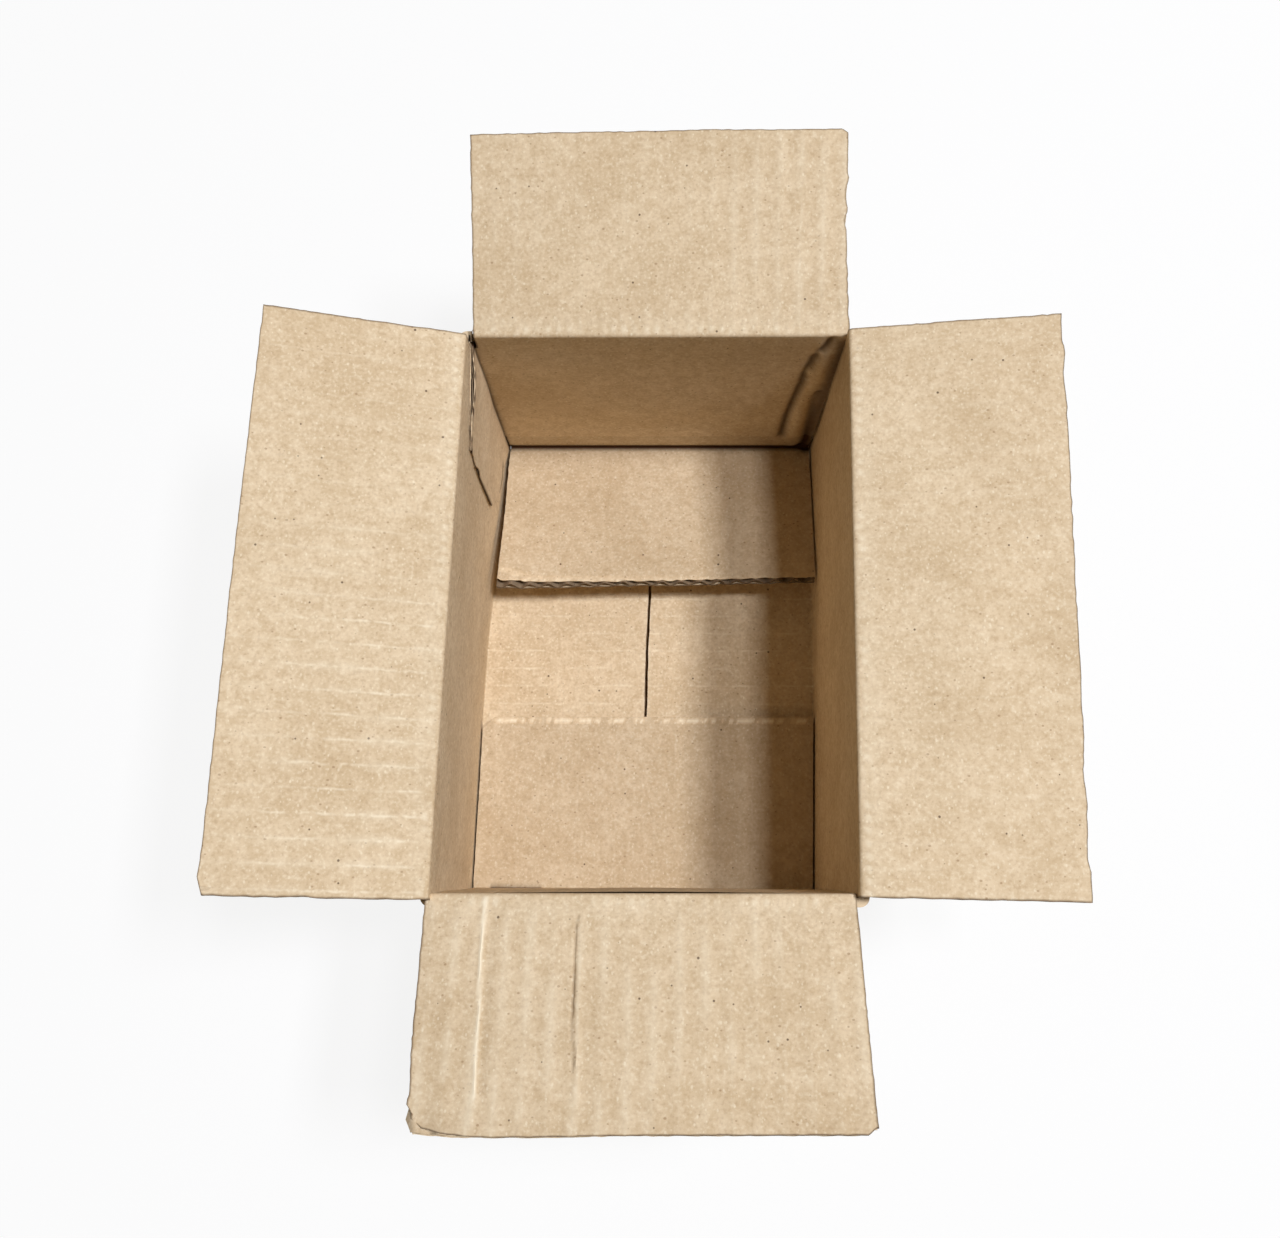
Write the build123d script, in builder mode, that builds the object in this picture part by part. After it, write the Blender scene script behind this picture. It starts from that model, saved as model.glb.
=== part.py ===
from build123d import *
import os
from math import atan2, ceil, cos, radians, sin, tan

# Regular slotted carton, folded from one sheet of single-wall corrugated board.
# +X is across the box, +Y along it and +Z up.
# The origin is the centre of the footprint, on the underside of the closing tape.

# Inside of the closed box
inner_length = 182.0
inner_width = 127.0
inner_depth = 98.0

# Corrugated board: two liners with a wave of medium between them
board = 4.0
liner = 0.5
medium = 0.4
flute_pitch = 7.3
crest_flat = 0.9

# Folds: flap scores are crushed flat, so the flutes stop short of them
outer_fold_radius = 3.0
inner_fold_radius = 0.7
crushed_score = 7.0
score_gap = 0.2

# Lid flaps, with the long pair scored one board higher so that it closes over the short pair
lid_seam_gap = 5.0
lid_stack_gap = 0.2
short_slot_gap = 0.75
long_slot_gap = 3.0
slot_overcut = 1.0
slot_clearance = 0.25
far_flap_angle = 19.0
near_flap_angle = 11.0
left_flap_angle = 18.0
right_flap_angle = 10.0

# Bottom flaps: the long pair meets at a seam and the short pair lies on it
floor_seam_gap = 1.2
floor_seam_shift = -2.6
floor_stack_gap = 0.2
short_floor_reach = 65.5
nipped_corner = 4.5
sprung_flap_angle = 13.0

# Glue tab, which runs from the far wall along the inside of the left wall
tab_width = 36.0
tab_top_bevel = 20.0
tab_foot_bevel = 46.0
tab_headroom = 0.6
tab_footroom = 1.0
raw_edge_setback = 1.5
open_flute_depth = 2.5

# Packing tape along the bottom seam and up both end walls
tape_width = 48.0
tape_thickness = 0.2
tape_rise = 52.0
tape_bend_radius = 0.5

# Places that follow from the sizes above
wall_x = inner_width / 2 + board
wall_y = inner_length / 2 + board
long_floor = tape_thickness
short_floor = long_floor + board + floor_stack_gap
inner_floor = short_floor + board
short_hinge_z = inner_floor + inner_depth + board
long_hinge_z = short_hinge_z + board + lid_stack_gap
flap_reach = wall_x - lid_seam_gap / 2
short_flap_width = 2 * (inner_width / 2 - short_slot_gap)
long_flap_width = 2 * (wall_y - long_slot_gap)

os.makedirs("parts", exist_ok=True)


def flute_openings(width):
    """Draw the openings between the liners and the wave, over at least this width."""
    flank_angle = atan2(board - 2 * liner - medium, flute_pitch / 2 - crest_flat)
    narrow = crest_flat / 2 - medium * tan(flank_angle / 2)
    wide = (flute_pitch - crest_flat) / 2
    low = liner
    high = board - liner
    count = 2 * ceil(width / flute_pitch / 2) + 1
    with GridLocations(flute_pitch, 0, count, 1):
        Polygon((-narrow, low + medium), (narrow, low + medium), (wide, high), (-wide, high))
    with GridLocations(flute_pitch, 0, count + 1, 1):
        Polygon((-wide, low), (wide, low), (narrow, high - medium), (-narrow, high - medium))


def open_flutes(width, lip, inward, up, length):
    """Cut the flutes of a flap, from the middle of its free edge towards its fold."""
    with BuildSketch(Plane(origin=lip, x_dir=up.cross(inward), z_dir=inward)) as openings:
        flute_openings(width)
        Rectangle(width, 3 * board, mode=Mode.INTERSECT)
    extrude(openings.sketch, amount=length, mode=Mode.SUBTRACT)


def folded_wall(side, wall_face, hinge_z, floor_z, free_edge, rise):
    """Draw a wall with its lid score and its bottom flap, as one folded section.

    The wall's outer face stands at side * wall_face. The flap's underside runs from the
    foot of that face to free_edge, and climbs from the fold by rise degrees.
    """
    climb = radians(rise)
    reach = (wall_face - side * free_edge) / cos(climb)
    heel = (side * wall_face, floor_z)
    lip = (side * (wall_face - reach * cos(climb)), floor_z + reach * sin(climb))
    lip_top = (lip[0] + side * board * sin(climb), lip[1] + board * cos(climb))
    nook = (side * (wall_face - board), floor_z + board * (1 + sin(climb)) / cos(climb))
    wall_tip = (heel[0], hinge_z - score_gap)
    wall_shoulder = (nook[0], wall_tip[1] - board)
    with BuildLine() as outline:
        FilletPolyline(wall_tip, heel, lip, radius=outer_fold_radius)
        Line(lip, lip_top)
        FilletPolyline(lip_top, nook, wall_shoulder, radius=inner_fold_radius)
        Line(wall_shoulder, wall_tip)
    make_face(outline.edges())


def lid_flap(name, out_x, out_y, hinge_z, rise, width):
    """Make a lid flap that turns on the score along its wall's outer face."""
    tilt = radians(rise)
    hinge = Vector(out_x * wall_x, out_y * wall_y, hinge_z)
    outward = Vector(out_x * cos(tilt), out_y * cos(tilt), sin(tilt))
    inner_side = Vector(-out_x * sin(tilt), -out_y * sin(tilt), cos(tilt))
    lip = hinge + outward * flap_reach
    with BuildPart() as flap:
        with BuildSketch(Plane(origin=hinge, x_dir=outward, z_dir=outward.cross(inner_side))):
            Polygon((score_gap, 0), (flap_reach, 0), (flap_reach, board), (score_gap + board, board))
        extrude(amount=width / 2, both=True)
        open_flutes(width, lip, -outward, inner_side, flap_reach - crushed_score)
    flap.part.label = name
    export_step(flap.part, f"parts/{name}.step")


# Glue tab: the end of the sheet, with a bevel at its top and a longer one at its foot
tab_root = inner_length / 2
tab_edge = tab_root - tab_width
tab_top = short_hinge_z - board - tab_headroom
tab_foot = inner_floor + tab_footroom
tab_shoulder = tab_top - tab_width * tan(radians(tab_top_bevel))
tab_knee = tab_foot + tab_width * tan(radians(tab_foot_bevel))

with BuildPart() as glue_tab:
    with BuildSketch(Plane.YZ.offset(-inner_width / 2)):
        Polygon((tab_edge, tab_knee), (tab_root, tab_foot), (tab_root, tab_top),
                (tab_edge, tab_shoulder))
    extrude(amount=board)
    open_flutes(tab_width, Vector(-inner_width / 2, (tab_edge + tab_root) / 2, tab_foot),
                Vector(0, 0, 1), Vector(1, 0, 0), tab_top - tab_foot)


# Folded sheet: four walls, four bottom flaps and the glue tab, all of one board
left_lip = floor_seam_shift - floor_seam_gap / 2
right_lip = floor_seam_shift + floor_seam_gap / 2
near_lip = short_floor_reach - inner_length / 2
sprung = radians(sprung_flap_angle)
far_lip = inner_length / 2 - short_floor_reach * cos(sprung)
far_lip_z = short_floor + (wall_y - far_lip) * tan(sprung)
corner_foot = short_floor + slot_overcut
corner_top = short_hinge_z - slot_overcut
short_score_z = short_hinge_z - score_gap - board

with BuildPart() as box_body:
    # Long walls with the outer bottom flaps, which reach past the folds under the short walls
    with BuildSketch(Plane.XZ):
        folded_wall(-1, wall_x, long_hinge_z, long_floor, left_lip, 0)
        folded_wall(1, wall_x, long_hinge_z, long_floor, right_lip, 0)
    extrude(amount=long_flap_width / 2, both=True)
    with BuildSketch(Plane.XY.offset(long_floor + board)):
        with GridLocations(0, inner_length + 2 * board, 1, 2):
            Rectangle(3 * wall_x, 2 * board)
    extrude(amount=long_hinge_z, mode=Mode.SUBTRACT)
    open_flutes(long_flap_width, Vector(left_lip, 0, long_floor), Vector(-1, 0, 0),
                Vector(0, 0, 1), wall_x + left_lip - crushed_score)
    open_flutes(long_flap_width, Vector(right_lip, 0, long_floor), Vector(1, 0, 0),
                Vector(0, 0, 1), wall_x - right_lip - crushed_score)

    # Corners: three folds, and the raw end of the left wall beside the fold of the glue tab
    with BuildSketch(Plane.XY.offset(corner_foot)) as corners:
        Rectangle(2 * wall_x, 2 * wall_y)
        with Locations((-wall_x, wall_y)):
            Rectangle(2 * board, 2 * board, mode=Mode.SUBTRACT)
        joint_steps = corners.vertices().filter_by(
            lambda v: v.X < -inner_width / 2 + board and v.Y > inner_length / 2 - board)
        fold_corners = [v for v in corners.vertices() if v not in joint_steps]
        joint_fold = joint_steps.sort_by(Axis.Y)[-1]
        fillet(fold_corners + [joint_fold], outer_fold_radius)
        with Locations((-wall_x, wall_y - raw_edge_setback)):
            Rectangle(board, board, align=(Align.MIN, Align.MAX))
        with Locations((-wall_x + board / 2, wall_y - raw_edge_setback)):
            Rectangle(board - 2 * liner, 2 * open_flute_depth, mode=Mode.SUBTRACT)
        Rectangle(inner_width, inner_length, mode=Mode.SUBTRACT)
    extrude(amount=corner_top - corner_foot)
    with BuildSketch(Plane.XY.offset(short_score_z)):
        Rectangle(short_flap_width + 2 * slot_clearance, 3 * wall_y)
    extrude(amount=board, mode=Mode.SUBTRACT)

    # Short walls with the inner bottom flaps: the far one has sprung up, the near one lost a corner
    with BuildSketch(Plane.YZ):
        folded_wall(-1, wall_y, short_hinge_z, short_floor, near_lip, 0)
        folded_wall(1, wall_y, short_hinge_z, short_floor, far_lip, sprung_flap_angle)
    extrude(amount=short_flap_width / 2, both=True)
    open_flutes(short_flap_width, Vector(0, near_lip, short_floor), Vector(0, -1, 0),
                Vector(0, 0, 1), wall_y + near_lip - crushed_score)
    open_flutes(short_flap_width, Vector(0, far_lip, far_lip_z), Vector(0, cos(sprung), -sin(sprung)),
                Vector(0, sin(sprung), cos(sprung)), (wall_y - far_lip) / cos(sprung) - crushed_score)
    with BuildSketch(Plane.XY.offset(short_floor)):
        with Locations((-short_flap_width / 2, near_lip)):
            Polygon((0, 0), (0, -nipped_corner), (nipped_corner, 0), align=None)
    extrude(amount=board, mode=Mode.SUBTRACT)
    add(glue_tab.part)

box_body.part.label = "box_body"
export_step(box_body.part, "parts/box_body.step")


# Lid flaps, two over the short walls and two over the long ones
lid_flap("far_lid_flap", 0, 1, short_hinge_z, far_flap_angle, short_flap_width)
lid_flap("near_lid_flap", 0, -1, short_hinge_z, near_flap_angle, short_flap_width)
lid_flap("left_lid_flap", -1, 0, long_hinge_z, left_flap_angle, long_flap_width)
lid_flap("right_lid_flap", 1, 0, long_hinge_z, right_flap_angle, long_flap_width)


# Tape: one strip under the seam, turned up over the foot of each end wall
with BuildPart() as bottom_tape:
    with BuildSketch(Plane.YZ):
        with BuildLine():
            outside_y = wall_y + tape_thickness
            FilletPolyline((-outside_y, tape_rise), (-outside_y, 0), (outside_y, 0),
                           (outside_y, tape_rise), radius=tape_bend_radius + tape_thickness)
            Line((outside_y, tape_rise), (wall_y, tape_rise))
            FilletPolyline((wall_y, tape_rise), (wall_y, long_floor), (-wall_y, long_floor),
                           (-wall_y, tape_rise), radius=tape_bend_radius)
            Line((-wall_y, tape_rise), (-outside_y, tape_rise))
        make_face()
    extrude(amount=tape_width / 2, both=True)

bottom_tape.part.label = "bottom_tape"
export_step(bottom_tape.part, "parts/bottom_tape.step")
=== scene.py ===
"""Dresses a small slotted carton: corrugated walls, lid flaps, glue tab and closing tape."""

from __future__ import annotations

import logging
import math
from collections.abc import Callable, Sequence
from dataclasses import dataclass, field, replace
from enum import Enum

import bpy
import numpy as np
from bpy.types import Material, Node, NodeSocket, Object, World
from mathutils import Matrix, Vector

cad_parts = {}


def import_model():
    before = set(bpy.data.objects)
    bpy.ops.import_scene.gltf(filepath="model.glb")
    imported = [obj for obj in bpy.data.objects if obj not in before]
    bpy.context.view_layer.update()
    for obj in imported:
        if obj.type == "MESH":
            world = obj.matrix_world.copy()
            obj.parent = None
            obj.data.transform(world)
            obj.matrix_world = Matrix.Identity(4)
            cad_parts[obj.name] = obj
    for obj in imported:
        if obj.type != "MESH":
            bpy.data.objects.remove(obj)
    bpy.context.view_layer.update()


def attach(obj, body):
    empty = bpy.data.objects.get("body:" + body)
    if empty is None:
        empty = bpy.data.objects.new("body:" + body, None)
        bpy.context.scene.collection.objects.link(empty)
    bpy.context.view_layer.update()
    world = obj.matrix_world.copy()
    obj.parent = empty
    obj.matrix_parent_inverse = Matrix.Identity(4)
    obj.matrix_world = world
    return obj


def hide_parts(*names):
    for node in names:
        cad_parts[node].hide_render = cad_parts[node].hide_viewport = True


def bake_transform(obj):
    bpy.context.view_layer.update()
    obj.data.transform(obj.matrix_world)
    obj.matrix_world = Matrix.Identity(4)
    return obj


LOG = logging.getLogger("carton")
MM = 0.001
TURN = 2.0 * math.pi
CRISP_ANGLE = math.radians(40.0)
WHITE = (1.0, 1.0, 1.0, 1.0)
TONE = "tone"
FLUTE = "flute"
STREAK = "streak"

Array = np.ndarray
Pair = tuple[float, float]
Outline = tuple[Pair, ...]
Relief = Callable[[Array, Array], Array]
Sockets = dict[str | int, object]


class Side(Enum):
    """A side of the carton, by the turn in degrees that brings +Y to its outward face."""

    FAR = 0.0
    LEFT = 90.0
    NEAR = 180.0
    RIGHT = -90.0

    @property
    def word(self) -> str:
        """Give the side's name as pieces and bodies have it."""
        return self.name.lower()

    @property
    def short(self) -> bool:
        """Tell whether a short wall stands on this side."""
        return self in (Side.FAR, Side.NEAR)


def smooth(x: Array) -> Array:
    """Ease from 0 to 1 over the same range."""
    t = np.clip(x, 0.0, 1.0)
    return t * t * (3.0 - 2.0 * t)


def bell(x: Array, middle: float | Array, width: float) -> Array:
    """Give 1 at the middle, falling to 0 a few widths away."""
    return np.exp(-(((x - middle) / width) ** 2))


def even(value: float) -> Relief:
    """Give a relief or a tone that is the same all over a sheet."""
    return lambda s, u: np.full(len(s), value)


@dataclass(frozen=True)
class Board:
    """Single-wall corrugated board, in millimetres."""

    thickness: float = 4.0
    liner: float = 0.45
    medium: float = 0.35
    pitch: float = 7.3
    steps_per_flute: int = 10
    fewest_columns: int = 8

    def columns(self, width: float) -> int:
        """Count the grid columns that show every flute across this width."""
        return max(self.fewest_columns, round(width / self.pitch * self.steps_per_flute))

    def beat(self, s: Array, times: float = 1.0) -> Array:
        """Give a cosine that runs with the flutes, or this many times as fast."""
        return np.cos(times * TURN * s / self.pitch)

    def ridge(self, s: Array) -> Array:
        """Give 1 on the lines where the wave holds the inner liner and 0 between them."""
        return 0.5 - 0.5 * self.beat(s)

    def wave(self, s: Array) -> Array:
        """Give the height of the wave over the middle of the board."""
        high = (self.thickness - 2.0 * self.liner - self.medium) / 2.0
        return -high * self.beat(s) + self.medium / 2.0


@dataclass(frozen=True)
class Rough:
    """A soft random field over a sheet, the same on each run."""

    seed: int
    grain: Pair
    amount: float = 1.0
    knots: int = 64

    def __call__(self, s: Array, q: Array) -> Array:
        """Read the field.

        Args:
            s: Places along the hinge, in millimetres.
            q: Places across it.

        Returns:
            A value between -amount and amount for each place.
        """
        knots = np.random.default_rng(self.seed).uniform(-1.0, 1.0, (self.knots, self.knots))
        middle, wrap = self.knots // 2 - 1, self.knots - 1
        a, b = s / self.grain[0] + middle, q / self.grain[1] + middle
        i, j = np.floor(a).astype(int) % wrap, np.floor(b).astype(int) % wrap
        u, v = smooth(a - np.floor(a)), smooth(b - np.floor(b))
        low = knots[i, j] * (1.0 - u) + knots[i + 1, j] * u
        high = knots[i, j + 1] * (1.0 - u) + knots[i + 1, j + 1] * u
        return self.amount * (low * (1.0 - v) + high * v)


@dataclass(frozen=True)
class Edge:
    """A cut edge: how far it stands out past its straight line, along its length."""

    line: Outline = ((0.0, 0.0),)
    ragged: float = 0.13
    grain: float = 1.7
    seed: int = 1

    def off(self, x: Array) -> Array:
        """Give the distance that the edge stands out at each place, in millimetres."""
        rough = Rough(self.seed, (self.grain, 1.0), self.ragged)
        return np.interp(x, *zip(*self.line)) + rough(x, np.zeros_like(x))


@dataclass(frozen=True)
class Crease:
    """A line pressed into a sheet, with a tone along it: on most creases painted shade in a valley,
    and on some a painted highlight along a ridge.

    A positive depth is a valley and a negative one a ridge.
    """

    points: Outline
    width: float
    depth: float
    tone: float = 0.0

    def strength(self, s: Array, q: Array) -> Array:
        """Measure how much each point of a sheet feels the line.

        Args:
            s: Places along the hinge, in millimetres.
            q: Places along the flutes, in millimetres.

        Returns:
            1 on the line, falling to 0 a few widths away.
        """
        near = np.full(s.shape, np.inf)
        for (s0, q0), (s1, q1) in zip(self.points, self.points[1:]):
            ds, dq = s1 - s0, q1 - q0
            t = np.clip(((s - s0) * ds + (q - q0) * dq) / (ds * ds + dq * dq), 0.0, 1.0)
            near = np.minimum(near, np.hypot(s - s0 - t * ds, q - q0 - t * dq))
        return bell(near, 0.0, self.width)


@dataclass(frozen=True)
class Dent:
    """A soft hollow in a sheet, or a bulge where its depth is negative."""

    place: Pair
    size: Pair
    depth: float
    tone: float = 0.0

    def strength(self, s: Array, q: Array) -> Array:
        """Measure how much each point of a sheet feels the hollow, from 0 to 1."""
        a, b = (s - self.place[0]) / self.size[0], (q - self.place[1]) / self.size[1]
        return np.exp(-(a * a + b * b))


Mark = Crease | Dent


class Profile:
    """A fold drawn across a panel: straight runs joined by round bends.

    Points are (outward, up) in millimetres. The side to the left of the way it runs is the
    face of the sheet that is laid along it.
    """

    bend_steps = 24
    edge_row = 0.5

    def __init__(self, points: Sequence[Sequence[float]], radii: Sequence[float] = ()) -> None:
        """Draw the runs and bends.

        Args:
            points: The ends and the sharp corners, in order.
            radii: One bend radius for each inner corner.
        """
        corners = [np.array(p, float) for p in points]
        headings = [math.atan2(*(b - a)[::-1]) for a, b in zip(corners, corners[1:])]
        place, turn, length = [corners[0]], [headings[0]], 0.0
        self.bends: list[Pair] = []
        for corner, radius, h0, h1 in zip(corners[1:], radii, headings, headings[1:]):
            bend = (h1 - h0 + math.pi) % TURN - math.pi
            back = radius * math.tan(abs(bend) / 2.0)
            start = corner - back * np.array([math.cos(h0), math.sin(h0)])
            length += float(np.linalg.norm(start - place[-1]))
            place.append(start)
            turn.append(h0)
            sign = math.copysign(1.0, bend)
            centre = start + sign * radius * np.array([-math.sin(h0), math.cos(h0)])
            self.bends.append((length, length + radius * abs(bend)))
            for k in range(1, self.bend_steps + 1):
                h = h0 + bend * k / self.bend_steps
                place.append(centre + sign * radius * np.array([math.sin(h), -math.cos(h)]))
                turn.append(h)
            length += radius * abs(bend)
        self.place = np.array([*place, corners[-1]])
        self.turn = np.array([*turn, turn[-1]])
        hop = np.linalg.norm(np.diff(self.place, axis=0), axis=1)
        self.at = np.concatenate([[0.0], np.cumsum(hop)])
        self.length = float(self.at[-1])

    def rows(self, step: float, bend_rows: int) -> Array:
        """Place the rows of a sheet: evenly on the runs, and closer at its ends and bends.

        Args:
            step: The distance between rows on a run, in millimetres.
            bend_rows: The number of rows round a bend.

        Returns:
            The rows' places along the profile.
        """
        found = [0.0, self.edge_row, self.length - self.edge_row, self.length]
        edge = 0.0
        for low, high in [*self.bends, (self.length, self.length)]:
            run = max(1, round((low - edge) / step))
            found += list(np.linspace(edge, low, run + 1))
            if high > low:
                found += list(np.linspace(low, high, bend_rows + 1))
            edge = high
        rows = np.unique(np.round(np.array(found), 4))
        return rows[np.concatenate([[True], np.diff(rows) > 1e-3])]

    def lay(self, s: Array, q: Array, h: Array) -> Array:
        """Put points of a flat sheet along the fold, which runs straight on past its ends.

        Args:
            s: Places along the hinge.
            q: Places along the profile.
            h: Heights over the sheet's face.

        Returns:
            Places in the panel's own frame: along, outward, up.
        """
        past = np.clip(q - self.length, 0.0, None)
        short = np.clip(q, None, 0.0)
        r = np.interp(q, self.at, self.place[:, 0])
        z = np.interp(q, self.at, self.place[:, 1])
        r = r + past * math.cos(self.turn[-1]) + short * math.cos(self.turn[0])
        z = z + past * math.sin(self.turn[-1]) + short * math.sin(self.turn[0])
        a = np.interp(q, self.at, self.turn)
        return np.stack([s, r - np.sin(a) * h, z + np.cos(a) * h], axis=1)


def deselect() -> None:
    """Leave edit mode and select nothing."""
    if bpy.context.object and bpy.context.object.mode != "OBJECT":
        bpy.ops.object.mode_set(mode="OBJECT")
    bpy.ops.object.select_all(action="DESELECT")


def take(piece: Object) -> None:
    """Make one object the selected and active one.

    Args:
        piece: The object.
    """
    deselect()
    piece.select_set(True)
    bpy.context.view_layer.objects.active = piece


def corners_of(piece: Object) -> Array:
    """Read the places of a mesh's vertices.

    Args:
        piece: The mesh's object.

    Returns:
        One row of x, y and z for each vertex.
    """
    co = np.empty(len(piece.data.vertices) * 3)
    piece.data.vertices.foreach_get("co", co)
    return co.reshape(-1, 3)


def set_corners(piece: Object, co: Array) -> None:
    """Move a mesh's vertices to these places."""
    piece.data.vertices.foreach_set("co", np.ascontiguousarray(co, dtype=np.float32).ravel())
    piece.data.update()


def carry(piece: Object, name: str, values: Array) -> None:
    """Give each vertex of a mesh a number with this name."""
    layer = piece.data.attributes.new(name, "FLOAT", "POINT")
    layer.data.foreach_set("value", values.astype(np.float32))


@dataclass
class Sheet:
    """One ply of paper: a grid that is trimmed, pressed, laid along a fold and thickened.

    measure turns a place along the profile into the distance that marks, edges and reliefs
    read. cut is the tone of the cut edges, painted shade wherever it is set, and streak how clearly
    the flutes show.
    """

    name: str
    profile: Profile
    span: Pair
    thickness: float
    board: Board
    step: float = 2.2
    relief: Relief | None = None
    marks: tuple[Mark, ...] = ()
    tone: Relief | None = None
    streak: Relief | None = None
    cut: float = 0.0
    columns: int | None = None
    bend_rows: int = 8
    start: Edge | None = None
    end: Edge | None = None
    low: Edge | None = None
    high: Edge | None = None
    measure: Callable[[Array], Array] = np.positive

    def _trimmed(self, share_s: Array, q: Array) -> tuple[Array, Array]:
        """Move the grid's points to the sheet's cut edges.

        Args:
            share_s: Places across the sheet, from 0 to 1.
            q: Places along the profile.

        Returns:
            Places along the hinge and along the profile.
        """
        u = self.measure(q)
        left = self.span[0] - (self.low.off(u) if self.low else 0.0)
        right = self.span[1] + (self.high.off(u) if self.high else 0.0)
        s = left + share_s * (right - left)
        share = q / self.profile.length
        first, last = 1.0 - share, share
        if self.profile.bends:
            # Only the first third and the last half follow their edge, so the bend stays put
            first, last = 1.0 - smooth(share * 3.0), smooth((share - 0.5) * 2.0)
        if self.start:
            q = q - self.start.off(s) * first
        if self.end:
            q = q + self.end.off(s) * last
        return s, q

    def make(self) -> Object:
        """Cut, press and lay the ply.

        Returns:
            The new object, in the panel's frame and in millimetres.
        """
        rows = self.profile.rows(self.step, self.bend_rows)
        last = len(rows) - 1
        columns = self.columns or self.board.columns(self.span[1] - self.span[0])
        deselect()
        bpy.ops.mesh.primitive_grid_add(x_subdivisions=columns, y_subdivisions=last, size=1.0)
        piece = bpy.context.object
        piece.name = piece.data.name = self.name
        co = corners_of(piece)
        which = np.rint((co[:, 1] + 0.5) * last).astype(int)
        s, q = self._trimmed(co[:, 0] + 0.5, rows[which])
        u, flat = self.measure(q), even(0.0)
        h = (self.relief or flat)(s, u)
        tone = (self.tone or flat)(s, u)
        for mark in self.marks:
            felt = mark.strength(s, u)
            h = h - mark.depth * felt
            tone = tone + mark.tone * felt
        cut = np.abs(co[:, 0]) > 0.4999
        cut |= (which == 0) & bool(self.start) | (which == last) & bool(self.end)
        set_corners(piece, self.profile.lay(s, q, h))
        carry(piece, TONE, tone + self.cut * cut)
        carry(piece, FLUTE, s / self.board.pitch)
        carry(piece, STREAK, (self.streak or flat)(s, u))
        if self.thickness:
            take(piece)
            solid = piece.modifiers.new("ply", "SOLIDIFY")
            solid.thickness = self.thickness
            solid.offset = -1.0
            solid.use_rim = True
            bpy.ops.object.modifier_apply(modifier=solid.name)
        return piece


@dataclass(frozen=True)
class Rack:
    """How far the worn carton stands out of square, as (x, y) shifts in millimetres.

    The four corners are far left, far right, near left and near right. The feet of the long
    walls bulge, so their x shifts are given along y.
    """

    rim: Outline = ((-0.2, -0.8), (1.3, 0.3), (-1.2, -1.6), (-0.5, 0.2))
    floor_y: tuple[float, ...] = (-1.0, 0.0, 2.7, 4.2)
    left_foot: Outline = (
        (-91.0, -5.4), (-24.0, -5.0), (5.0, -4.5), (30.0, -3.0), (60.0, -0.9), (91.0, 0.2)
    )
    right_foot: Outline = ((-91.0, -2.4), (-24.0, -0.9), (91.0, -0.7))
    half: Pair = (63.5, 91.0)
    heights: Pair = (8.6, 106.0)

    @staticmethod
    def _between(corners: Sequence[float], a: Array, b: Array) -> Array:
        """Blend the values of the four corners, a to the right and b to the far side."""
        far, near = (corners[i] * (1.0 - a) + corners[i + 1] * a for i in (0, 2))
        return near * (1.0 - b) + far * b

    def shift(self, co: Array) -> Array:
        """Work out how far each point moves.

        Args:
            co: Places on the square carton, in millimetres.

        Returns:
            The shift of each place, in millimetres.
        """
        a, b = (np.clip((co[:, k] / self.half[k] + 1.0) / 2.0, 0.0, 1.0) for k in (0, 1))
        foot, rim = self.heights
        c = np.clip((co[:, 2] - foot) / (rim - foot), 0.0, 1.0)
        rim_x, rim_y = (self._between(shifts, a, b) for shifts in zip(*self.rim))
        left = np.interp(co[:, 1], *zip(*self.left_foot))
        right = np.interp(co[:, 1], *zip(*self.right_foot))
        foot_x = left * (1.0 - a) + right * a
        foot_y = self._between(self.floor_y, a, b)
        dx = foot_x + (rim_x - foot_x) * c
        dy = foot_y + (rim_y - foot_y) * c
        return np.stack([dx, dy, np.zeros(len(co))], axis=1)

    def hinge(self, side: Side, half: float, face: float) -> Pair:
        """Find the hinge line of a flap as it stands, racked.

        Args:
            side: The side that the flap is on.
            half: Half the hinge line's length.
            face: The wall's outer face.

        Returns:
            How far the line moves out at its middle, and how much more per millimetre.
        """
        turn = np.array(Matrix.Rotation(math.radians(side.value), 3, "Z"))
        ends = np.array([[end, face, self.heights[1]] for end in (-half, half)]) @ turn.T
        low, high = (self.shift(ends) @ turn)[:, 1]
        return (low + high) / 2.0, (high - low) / (2.0 * half)


def join(name: str, pieces: Sequence[Object]) -> Object:
    """Join meshes into one piece.

    Args:
        name: The piece's name.
        pieces: The meshes, of which the first takes up the rest.

    Returns:
        The joined piece.
    """
    take(pieces[0])
    for other in pieces[1:]:
        other.select_set(True)
    bpy.ops.object.join()
    made = bpy.context.object
    made.name = made.data.name = name
    return made


def press(piece: Object, marks: Sequence[Mark], face: float, hinge_z: float) -> None:
    """Push folds and dents into a standing wall, both liners together.

    Args:
        piece: A mesh in the panel's frame, in millimetres.
        marks: Marks placed along the hinge and up the wall. A positive depth pushes outward.
        face: The wall's outer face.
        hinge_z: The height of the rim's hinge line, just above which nothing moves.
    """
    if not marks:
        return
    above, fade, middle, reach, rub = 3.0, 4.0, 2.0, 5.0, 2.0
    co = corners_of(piece)
    near = np.exp(-(((co[:, 1] - face + middle) / reach) ** 4))
    gate = near * smooth((hinge_z + above - co[:, 2]) / fade)
    inner = smooth((face - 1.0 - co[:, 1]) / rub) * gate
    layer = piece.data.attributes[TONE]
    tone = np.empty(len(co), np.float32)
    layer.data.foreach_get("value", tone)
    for mark in marks:
        felt = mark.strength(co[:, 0], co[:, 2])
        co[:, 1] += mark.depth * felt * gate
        # The marks' tones, mostly painted shade and painted highlights of the folds and corners, go
        # on the inner face only.
        tone += (mark.tone * felt * inner).astype(np.float32)
    set_corners(piece, co)
    layer.data.foreach_set("value", tone)


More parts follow.
